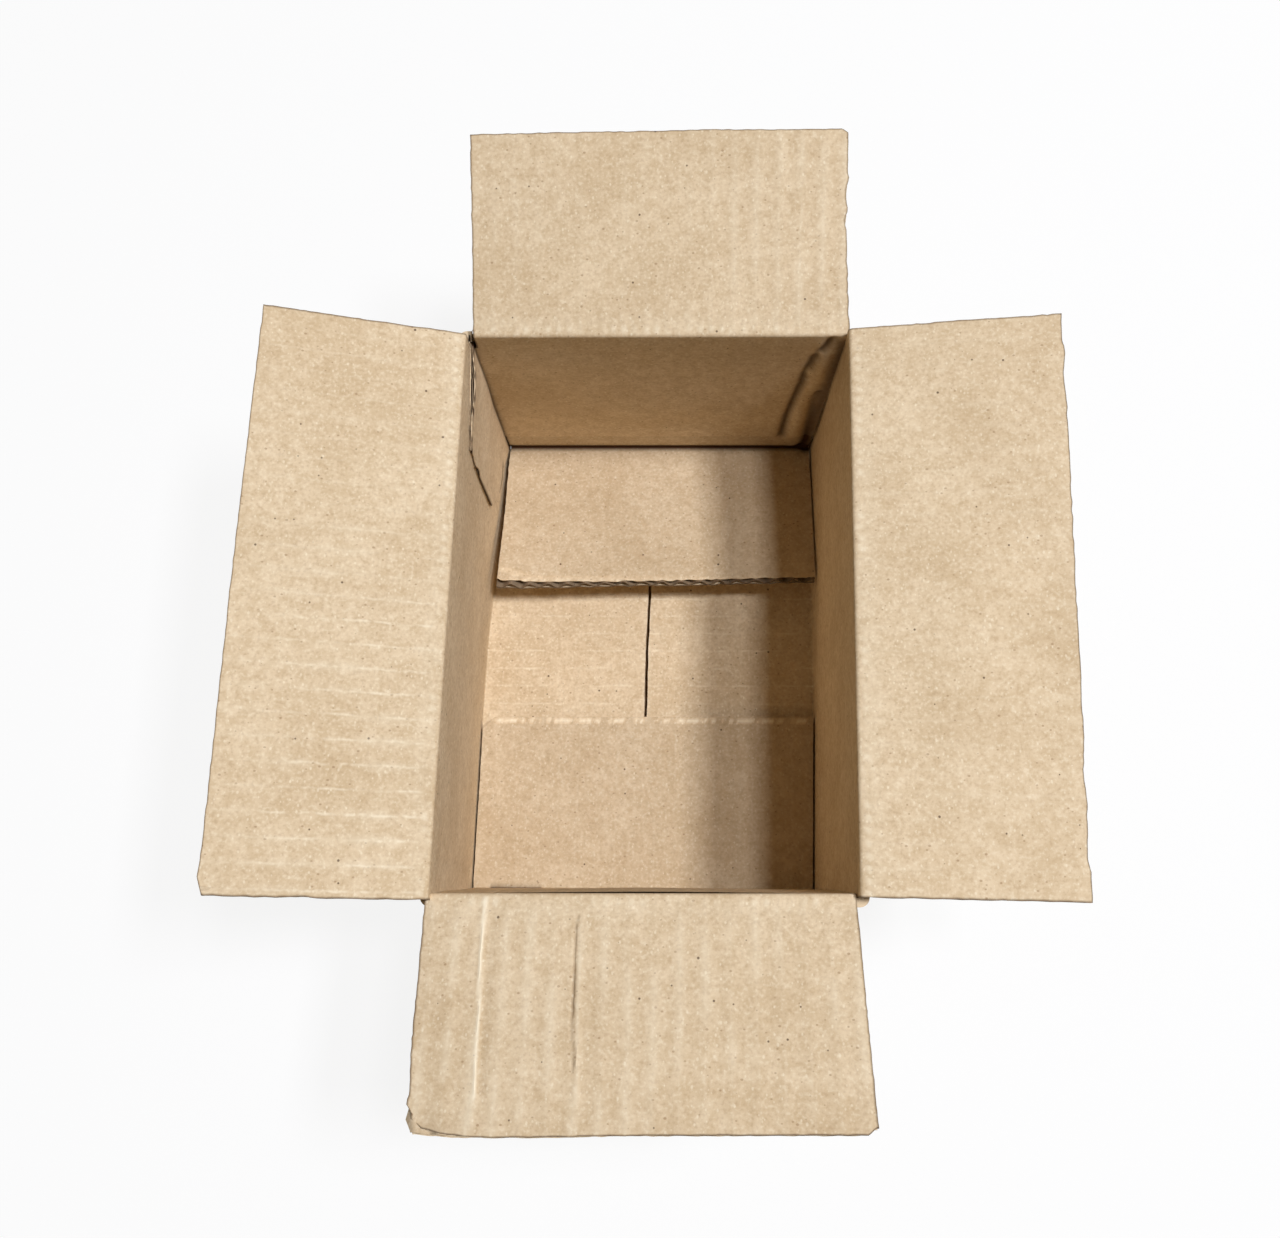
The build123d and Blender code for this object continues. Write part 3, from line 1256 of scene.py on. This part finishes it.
@dataclass
class GlueTab:
    """The crushed end of the sheet, glued inside the left wall at the far corner.

    Its outline is given along the carton and up. The lifts raise it off the wall: one beside
    its top bevel, measured from there, one at its edge and one at its heel.
    """

    board: Board
    rack: Rack
    wall_x: float = 63.5
    thickness: float = 0.95
    paper: float = 0.3
    wave_paper: float = 0.2
    wave_height: float = 0.12
    wave_setback: float = 0.1
    glued_setback: float = 0.9
    glue: float = 0.05
    root: float = 90.4
    edge: float = 53.4
    height: float = 110.0
    columns: int = 56
    top: Outline = (
        (53.2, 96.6), (56.4, 98.2), (76.0, 104.2), (78.5, 105.4), (82.0, 105.6), (85.0, 107.6),
        (90.4, 109.0),
    )
    foot: Outline = ((53.2, 43.5), (64.0, 28.6), (76.2, 24.0), (84.0, 14.0), (90.4, 8.8))
    free: Outline = (
        (0.0, 0.0), (43.0, 0.0), (78.0, -0.4), (82.0, -1.1), (86.0, -0.5), (98.0, -2.4)
    )
    bevel_lift: Dent = Dent((78.0, 0.0), (8.0, 9.0), 1.0)
    edge_lift: Dent = Dent((54.0, 81.8), (4.0, 4.0), 0.7)
    heel_lift: Dent = Dent((70.0, 26.0), (9.0, 8.0), 0.8)
    # painted shade along the gap at the tab's lower bevel
    foot_crease: Crease = Crease(((75.4, 25.2), (63.4, 27.8)), 2.2, 0.3, -0.75)
    shade: float = -0.8
    # painted shade: the crushed wave is darkened so that the tab's cut edges read as dark gaps
    wave_shade: float = -0.7

    def _raised(self, s: Array, q: Array) -> Array:
        """Lift the tab off the wall a little along its cut edges.

        Args:
            s: Places along the carton.
            q: Heights.

        Returns:
            Heights over the tab's face.
        """
        raised = Rough(31, (22.0, 26.0), 0.35)(s, q)
        top = np.interp(s, *zip(*self.top))
        raised = raised + self.bevel_lift.depth * self.bevel_lift.strength(s, q - top)
        for lift in (self.edge_lift, self.heel_lift):
            raised = raised + lift.depth * lift.strength(s, q)
        return raised

    def _fibres_and_painted_shade(self, s: Array, q: Array) -> Array:
        """Paint pale torn fibres and painted shade in the gaps along the top bevel, and painted shade
        in the corner and along the free edge.

        Args:
            s: Places along the carton.
            q: Heights.

        Returns:
            Tones.
        """
        top = np.interp(s, *zip(*self.top))
        # Mostly dark: painted shade in the gaps of the torn bevel, with a few pale fibres.
        torn = Rough(33, (1.2, 4.0), 0.9)(s, q) - 0.5
        shaded = bell(s, self.root, 0.9) + bell(s, self.edge, 0.8)
        return torn * bell(q, top - 1.2, 1.8) + self.shade * shaded

    def _ply(self, name: str, x: float, paper: float, cut: float, **looks: object) -> Object:
        """Make one ply of the tab.

        Args:
            name: What the ply is.
            x: How far out its face stands.
            paper: Its thickness.
            cut: How far it is cut back from the tab's outline.
            **looks: Its relief, tone and marks.

        Returns:
            The ply, in the panel's frame.
        """
        top = tuple((s, z - self.height - cut) for s, z in self.top)
        foot = tuple((s, -z - cut) for s, z in self.foot)
        path = Profile([(x, 0.0), (x, self.height)])
        return Sheet(
            name, path, (self.edge, self.root), paper, self.board, step=1.4, columns=self.columns,
            start=Edge(foot, 0.12, 1.5, 35), end=Edge(top, 0.4, 1.25, 36),
            low=Edge(self.free, 0.12, 1.4, 37), **looks,
        ).make()

    def _crushed(self, s: Array, q: Array) -> Array:
        """Lay the crushed wave between the tab's liners."""
        return self.wave_height * self.board.beat(s) + self._raised(s, q) * 0.7

    def make(self) -> Object:
        """Build the tab's two liners and its crushed wave.

        Returns:
            The finished piece.
        """
        face, middle = self.wall_x - self.thickness, self.wall_x - self.thickness / 2.0
        made = join("glue_tab", [
            self._ply("tab_liner", face, self.paper, 0.0, relief=self._raised, tone=self._fibres_and_painted_shade,
                      marks=(self.foot_crease,)),
            self._ply("tab_wave", middle, self.wave_paper, self.wave_setback,
                      relief=self._crushed, tone=even(self.wave_shade)),
            self._ply("tab_glued", self.wall_x - self.paper - self.glue, self.paper,
                      self.glued_setback),
        ])
        settle(made, Side.LEFT, self.rack)
        return made


@dataclass
class ClosingTape:
    """One strip of film tape under the bottom seam, turned up both end walls."""

    board: Board
    rack: Rack
    width: float = 48.0
    thickness: float = 0.2
    wall_y: float = 95.0
    rise: float = 52.0
    bend: float = 0.7
    tooth: float = 1.25
    tooth_depth: float = 0.9
    ripple: float = 0.03
    columns: int = 96

    def make(self) -> Object:
        """Build the strip with its torn zigzag ends.

        Returns:
            The finished piece.
        """
        half, out = self.width / 2.0, self.wall_y + self.thickness
        corners = [(out, self.rise), (out, 0.0), (-out, 0.0), (-out, self.rise)]
        path = Profile(corners, [self.bend, self.bend])
        teeth = tuple(
            (-half + self.tooth * k, 0.0 if k % 2 else -self.tooth_depth)
            for k in range(math.ceil(self.width / self.tooth) + 2)
        )
        ripple = Rough(51, (16.0, 40.0), self.ripple)
        made = Sheet(
            "bottom_tape_film", path, (-half, half), self.thickness, self.board, step=3.0,
            columns=self.columns, start=Edge(teeth, 0.1, 1.0, 52), end=Edge(teeth, 0.1, 1.0, 53),
            relief=lambda s, q: ripple(s, q) - self.ripple,
        ).make()
        made.data.attributes.remove(made.data.attributes[TONE])
        settle(made, Side.FAR, self.rack)
        return made


@dataclass
class Carton:
    """The whole carton, with the sizes that its solids have, in millimetres."""

    inner_length: float = 182.0
    inner_width: float = 127.0
    board: Board = field(default_factory=Board)
    rack: Rack = field(default_factory=Rack)
    long_hinge_z: float = 114.6
    short_hinge_z: float = 110.4
    long_floor: float = 0.2
    short_floor: float = 4.4
    short_reach: float = 65.5
    near_lip: float = 25.5
    sprung_rise: float = 13.0
    seam_left: float = -1.6
    seam_right: float = -0.5
    short_half: float = 62.75
    long_half: float = 92.0
    corner_foot: float = 5.4
    corner_top: float = 109.4
    raw_end: float = 93.5

    def _panel(self, side: Side) -> dict[str, object]:
        """Give what a wall and a lid flap on this side share."""
        across, hinge_z = (
            (self.inner_length, self.short_hinge_z) if side.short
            else (self.inner_width, self.long_hinge_z)
        )
        return {"side": side, "wall_face": across / 2.0 + self.board.thickness,
                "hinge_z": hinge_z, "board": self.board, "rack": self.rack,
                "half": self.short_half if side.short else self.long_half}

    def _wall(self, side: Side, **looks: object) -> Wall:
        """Describe a wall, with the sizes of its pair.

        Args:
            side: The side that it stands on.
            **looks: What it has of its own.

        Returns:
            The wall.
        """
        length = {"floor_z": self.long_floor, "inner_half": self.inner_length / 2.0,
                  "floor_streaks": 0.45}
        width = {"floor_z": self.short_floor, "inner_half": self.inner_width / 2.0, "cap": True}
        heights = {"corner_foot": self.corner_foot, "corner_top": self.corner_top}
        return Wall(**self._panel(side), **heights, **{**(width if side.short else length), **looks})

    def _flap(self, side: Side, **looks: object) -> LidFlap:
        """Describe a lid flap, with what it has of its own."""
        return LidFlap(**self._panel(side), **looks)

    def walls(self) -> list[Wall]:
        """Describe the four walls with their bottom flaps.

        Returns:
            Far, near, left and right.
        """
        thick = self.board.thickness
        x_end, y_end = Corner(self.inner_width / 2.0 + thick), Corner(self.inner_length / 2.0 + thick)
        joint = Corner(self.inner_width / 2.0, 90.0)
        return [
            self._far_wall((joint, x_end)),
            self._wall(
                Side.NEAR, free_edge=self.near_lip, seed=71, ends=(x_end, x_end),
                dashes=1.1, floor_tone=-0.15, floor_streaks=0.15,
                # painted shadow where the near bottom flap meets the bowed near wall
                marks=(Crease(((56.0, 65.3), (38.0, 65.6)), 0.6, 0.2, -0.65),),
                wall_marks=(
                    # The pale tone of this crease continues the near flap's painted ridge highlight
                    # into the wall.
                    Crease(((46.7, 113.0), (47.0, 70.0)), 0.6, 0.5, 0.2),
                    Dent((0.0, 70.0), (42.0, 40.0), -1.2),
                ),
                edge=Edge(((-62.75, 1.2), (58.3, 1.2), (62.75, -3.4)), 0.12, 2.0, 72),
            ),
            self._wall(
                Side.LEFT, free_edge=-self.seam_left, seed=81,
                ends=(y_end, Corner(self.raw_end, 0.0)), raw_end=self.raw_end,
                # faint painted shade in this fold by the near corner
                wall_marks=(Crease(((-81.0, 114.0), (-83.0, 60.0), (-86.0, 14.0)), 2.2, 0.5, -0.05),),
                edge=Edge(ragged=0.1, grain=3.0, seed=82),
            ),
            self._wall(
                Side.RIGHT, free_edge=self.seam_right, seed=91, ends=(y_end, y_end),
                # painted shade in the far right corner
                wall_marks=(Crease(((-91.4, 109.0), (-91.4, 8.0)), 1.8, 0.0, -0.6),),
                edge=Edge(ragged=0.1, grain=3.0, seed=92),
            ),
        ]

    def _far_wall(self, ends: tuple[Corner, Corner]) -> Wall:
        """Describe the far wall, crumpled at its right end, and its sprung bottom flap.

        Args:
            ends: The corners at its two ends.

        Returns:
            The wall.
        """
        sprung = math.cos(math.radians(self.sprung_rise))
        lip = self.inner_length / 2.0 - self.short_reach * sprung
        run = (self.inner_length / 2.0 + self.board.thickness - lip) / sprung
        fold = run - 5.0
        return self._wall(
            Side.FAR, free_edge=lip, rise=self.sprung_rise, seed=61, ends=ends,
            # heavy painted shade under the sprung flap's lifted edge
            floor_tone=-0.12, lip_tone=-0.75, dashes=0.6, wall_step=1.4, wall_marks=self._crumple(),
            edge=Edge(((-62.75, 1.6), (62.75, -1.4)), 0.35, 2.2, 62),
            top_edge=Edge(
                ((-62.75, -2.6), (-58.6, -0.3), (-40.0, 0.1), (0.0, -0.4), (62.75, -2.2)),
                0.3, 1.9, 63,
            ),
            low=Edge(((0.0, -2.6), (run, -0.4)), 0.15, 1.6, 64),
            marks=(
                # painted shade where the sprung flap meets the far wall
                Crease(((-62.75, fold), (62.75, fold)), 1.2, 0.3, -1.0),
                Dent((-58.0, 4.0), (9.0, 7.0), -0.5),
                Crease(((-59.5, 5.5), (-45.0, 1.2), (62.0, 1.0)), 0.9, 0.1, 0.22),
            ),
        )

    @staticmethod
    def _crumple() -> tuple[Mark, ...]:
        """Describe the buckled strip beside the far right corner.

        Returns:
            Two creases with painted shade in their valleys, its bulges, one with a faint painted
            highlight, painted shade in both corners, and a few pale spots: torn paper and painted
            highlights.
        """
        buckle = (
            (59.2, 113.5), (57.6, 106.0), (54.4, 96.2), (52.8, 81.7), (52.6, 74.0), (51.2, 58.0),
            (50.3, 43.9), (50.0, 22.0),
        )
        return (
            # The dark tones of the creases and the corners are painted shade; the faint pale tone of
            # the lower bulge is a painted highlight on its facet.
            Crease(buckle, 1.5, 1.5, -0.8),
            Crease(((59.5, 66.0), (58.7, 57.0), (60.0, 17.4), (58.4, 8.0)), 1.5, 0.9, -0.35),
            Dent((57.6, 88.0), (3.4, 17.0), -2.0),
            Dent((55.0, 40.0), (2.6, 19.0), -1.5, 0.06),
            Crease(((63.6, 109.0), (62.6, 80.0), (61.6, 50.0), (61.4, 8.0)), 3.0, 0.0, -0.75),
            Crease(((-63.6, 109.0), (-63.6, 8.0)), 1.2, 0.0, -0.95),
            # Pale spots: torn paper at the top, painted highlights on the buckle below it, and one at
            # the foot.
            Dent((56.0, 99.8), (1.3, 1.2), -0.7, 0.75),
            Dent((53.9, 84.0), (0.9, 2.6), -0.4, 0.5),
            Dent((56.0, 73.5), (0.8, 2.0), -0.4, 0.4),
            Dent((59.0, 6.0), (2.4, 2.4), -0.6, 0.2),
        )

    def lid_flaps(self) -> list[LidFlap]:
        """Describe the four lid flaps.

        Returns:
            Far, near, left and right.
        """
        return [self._far_flap(), self._near_flap(), self._left_flap(), self._right_flap()]

    def _far_flap(self) -> LidFlap:
        """Describe the far flap, whose fold goes over the crumpled corner."""
        return self._flap(
            Side.FAR, rise=19.0, seed=11, warp=(-0.5, 3.5), wall_marks=self._crumple(),
            tip=Edge(
                ((-62.75, 0.2), (20.0, 0.6), (40.0, 0.1), (60.5, 0.2), (62.75, -1.3)),
                0.14, 2.1, 12,
            ),
            low=Edge(((0.0, -1.0), (65.0, 0.2)), 0.16, 1.9, 13),
            high=Edge(
                ((0.0, 1.5), (36.0, -0.6), (40.0, 0.0), (46.0, -0.8), (50.0, 0.1), (66.0, -0.4)),
                0.25, 2.0, 14,
            ),
            ridge_share=lambda s, u: 0.35 + 0.65 * smooth((s + 10.0) / 60.0),
        )

    def _near_flap(self) -> LidFlap:
        """Describe the near flap, with two long creases and a corner bent down.

        Returns:
            The flap.
        """
        highlit_ridge = ((46.8, -2.0), (47.1, 15.0), (46.4, 30.0), (46.5, 41.0), (46.0, 53.0))
        shaded_valley = ((19.1, 4.0), (19.6, 8.0), (19.4, 17.0), (19.4, 28.6), (18.6, 46.0))
        return self._flap(
            Side.NEAR, rise=11.0, seed=21, warp=(9.5, -0.5), streaks=0.12, bands=0.22,
            tip=Edge(
                ((-63.5, -3.6), (-61.5, -2.2), (0.0, -2.1), (30.0, -1.6), (50.0, -1.6),
                 (60.0, -2.4), (62.75, -2.6)),
                0.12, 2.0, 22,
            ),
            inner_tip=Edge(
                ((-63.5, -3.8), (-61.5, -2.2), (0.0, -2.1), (30.0, -1.6), (44.0, -1.6),
                 (55.0, -2.6), (60.0, -4.0), (62.0, -5.4), (64.5, -7.2)),
                0.1, 2.0, 23,
            ),
            low=Edge(((0.0, 0.3), (65.0, 1.4)), 0.12, 1.9, 24),
            high=Edge(
                ((0.0, 2.3), (45.0, 2.2), (60.0, 1.5), (61.6, 2.6), (63.2, 0.7), (65.0, 0.2)),
                0.14, 2.0, 25,
            ),
            # The pale creases are painted highlights on their ridges, the dark ones painted shade in
            # their valleys, with a faint painted shadow beside the long pale ridge; the dents paint
            # shade on the bent-down corner.
            marks=(
                Crease(highlit_ridge, 0.42, -0.42, 1.0),
                Crease(((46.0, 53.0), (46.7, 60.5)), 1.0, -0.15, 0.25),
                Crease(((44.6, 2.0), (44.8, 30.0), (44.0, 52.0)), 1.5, 0.3, -0.05),
                Crease(shaded_valley, 0.36, 0.5, -0.55),
                Crease(((18.2, 15.0), (18.1, 30.0), (17.3, 55.0)), 0.7, -0.25, 0.2),
                Crease(((31.6, -1.0), (31.4, 14.0)), 0.8, -0.1, 0.14),
                Dent((61.5, 62.0), (7.0, 4.5), 0.9, -0.05),
                Dent((57.0, 64.0), (6.0, 1.4), 0.2, -0.22),
                Dent((63.0, 35.0), (5.0, 30.0), 0.3, -0.04),
            ),
        )

    def _left_flap(self) -> LidFlap:
        """Describe the left flap, whose ridges show pale towards the near wall."""

        def near_fold(s: Array, u: Array) -> Array:
            """Show the ridges most near the fold and the near wall."""
            return 0.25 + 0.75 * smooth((40.0 - s) / 60.0) * smooth((64.0 - u) / 40.0)

        return self._flap(
            Side.LEFT, rise=18.0, seed=31, reach=64.0, streaks=0.6, bands=0.22,
            tip=Edge(
                ((-96.0, -4.0), (-88.0, -1.3), (-80.0, -1.7), (0.0, -1.1), (92.0, -1.3)),
                0.12, 2.4, 32,
            ),
            low=Edge(
                ((0.0, 1.2), (30.0, 1.3), (33.0, 0.8), (42.0, 1.4), (64.0, 1.2)), 0.16, 1.8, 33
            ),
            high=Edge(((0.0, -1.8), (64.0, -1.8)), 0.12, 1.8, 34),
            ridge_share=near_fold,
            marks=(Dent((-92.0, 62.0), (8.0, 5.0), 0.8), Dent((40.0, 30.0), (40.0, 25.0), -0.4)),
        )

    def _right_flap(self) -> LidFlap:
        """Describe the right flap, which is smooth and droops towards the near wall."""
        return self._flap(
            Side.RIGHT, rise=10.0, seed=41, warp=(0.0, -13.0), streaks=0.1, bands=0.06,
            ridges=0.04, waviness=0.7,
            tip=Edge(
                ((-92.0, -0.1), (-82.0, -0.3), (-78.0, 0.3), (-72.0, -0.6), (-64.0, -0.1),
                 (48.0, -0.9), (54.0, -1.7), (64.0, -1.0), (80.0, -1.7), (84.0, -1.1),
                 (92.0, -1.2)),
                0.18, 2.6, 42,
            ),
            low=Edge(((0.0, -0.6), (66.0, -0.6)), 0.16, 1.9, 43),
            high=Edge(((0.0, 0.2), (66.0, 0.6)), 0.14, 1.9, 44),
        )

    def make(self) -> None:
        """Build every piece, and put the walls, the glue tab and the tape on the box's body."""
        kraft = KraftPaper().material()
        for part in (*self.walls(), GlueTab(self.board, self.rack)):
            made = part.make()
            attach(made, "box")
            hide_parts("box_body")
            self._dress(made, "kraft_board", kraft)
        for flap in self.lid_flaps():
            made = flap.make()
            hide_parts(f"{flap.side.word}_lid_flap")
            self._dress(made, "kraft_board", kraft)
        made = ClosingTape(self.board, self.rack).make()
        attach(made, "box")
        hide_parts("bottom_tape")
        self._dress(made, "packing_tape", BuffTape().material())

    @staticmethod
    def _dress(made: Object, slot: str, finish: Material) -> None:
        """Give a piece its finish, and report it.

        Args:
            made: The finished piece.
            slot: The material slot of the part's record. Not used.
            finish: The material that it shows.
        """
        made.data.materials.append(finish)
        LOG.info("%s: %d vertices", made.name, len(made.data.vertices))


@dataclass
class Studio:
    """Pale floor, soft lamps and the camera of the photograph.

    The camera's place is in millimetres, its turns in radians, and its focal length and the
    offset of its axis in the picture's pixels.
    """

    eye: tuple[float, float, float] = (8.969, -101.287, 509.53)
    yaw: float = -0.0884
    pitch: float = -1.2844
    roll: float = -0.0755
    focal: float = 1281.39
    offset: Pair = (7.75, -68.23)
    picture_width: int = 1280
    sensor: float = 36.0
    clip: Pair = (0.02, 20.0)
    floor_size: float = 6.0
    floor_colour: tuple[float, ...] = (0.86, 0.86, 0.86, 1.0)
    floor_glow: float = 0.88
    sky: float = 0.09
    daylight: tuple[float, float, float] = (0.985, 1.0, 1.07)
    room: tuple[float, ...] = (1.0, 0.85, 0.58, 1.0)
    aim_height: float = 0.05

    def camera(self) -> None:
        """Place the camera as the photograph's lines give it."""
        cy, sy = math.cos(self.yaw), math.sin(self.yaw)
        cp, sp = math.cos(self.pitch), math.sin(self.pitch)
        look = Vector((sy * cp, cy * cp, sp))
        right = look.cross(Vector((0.0, 0.0, 1.0))).normalized()
        up = right.cross(look)
        c, s = math.cos(self.roll), math.sin(self.roll)
        right, up = c * right + s * up, -s * right + c * up
        data = bpy.data.cameras.new("camera")
        data.sensor_width = self.sensor
        data.lens = self.sensor * self.focal / self.picture_width
        data.shift_x = -self.offset[0] / self.picture_width
        data.shift_y = self.offset[1] / self.picture_width
        data.clip_start, data.clip_end = self.clip
        made = bpy.data.objects.new("camera", data)
        bpy.context.scene.collection.objects.link(made)
        turn = Matrix((right, up, -look)).transposed().to_4x4()
        made.matrix_world = Matrix.Translation(Vector(self.eye) * MM) @ turn
        bpy.context.scene.camera = made

    def floor(self) -> None:
        """Lay a pale floor that keeps the carton's shadow."""
        deselect()
        bpy.ops.mesh.primitive_plane_add(size=self.floor_size)
        made = bpy.context.object
        made.name = "studio_floor"
        g = Graph(bpy.data.materials.new("pale_floor"))
        paper = g.value("ShaderNodeBsdfDiffuse", 0, {"Color": self.floor_colour})
        glow = g.value("ShaderNodeEmission", 0, {"Color": WHITE, "Strength": 1.0})
        shares = {0: g.camera_ray() * self.floor_glow, 1: paper, 2: glow}
        made.data.materials.append(g.surface(g.value("ShaderNodeMixShader", 0, shares)))

    def lamp(self, name: str, place: Sequence[float], size: Pair, power: float) -> None:
        """Hang a soft lamp that faces the carton.

        Args:
            name: The lamp's name.
            place: Where it hangs, in metres.
            size: Its width and depth, in metres.
            power: Its power, in watts.
        """
        data = bpy.data.lights.new(name, "AREA")
        data.shape = "RECTANGLE"
        data.size, data.size_y = size
        data.color = self.daylight
        data.energy = power
        made = bpy.data.objects.new(name, data)
        bpy.context.scene.collection.objects.link(made)
        at = Vector(place)
        aim = (Vector((0.0, at.y, self.aim_height)) - at).to_track_quat("-Z", "Y")
        made.matrix_world = Matrix.Translation(at) @ aim.to_matrix().to_4x4()

    def world(self) -> None:
        """Light the scene softly from all round, and show white to the camera."""
        made = bpy.data.worlds.new("studio")
        bpy.context.scene.world = made
        g = Graph(made)
        ray = g.camera_ray()
        back = {"Color": g.mix(ray, self.room, WHITE), "Strength": ray * (1.0 - self.sky) + self.sky}
        g.node("ShaderNodeOutputWorld", {"Surface": g.value("ShaderNodeBackground", 0, back)})

    def make(self) -> None:
        """Set up the whole studio."""
        self.camera()
        self.floor()
        self.world()
        self.lamp("key", (0.455, 0.08, 1.95), (0.23, 0.18), 12.2)
        self.lamp("window", (0.835, 0.08, 1.90), (0.46, 0.22), 26.8)
        bpy.context.scene.view_settings.view_transform = "Standard"


def main() -> None:
    """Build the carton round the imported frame."""
    logging.basicConfig(level=logging.INFO, format="%(name)s: %(message)s")
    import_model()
    Studio().make()
    Carton().make()


if __name__ == "__main__":
    main()
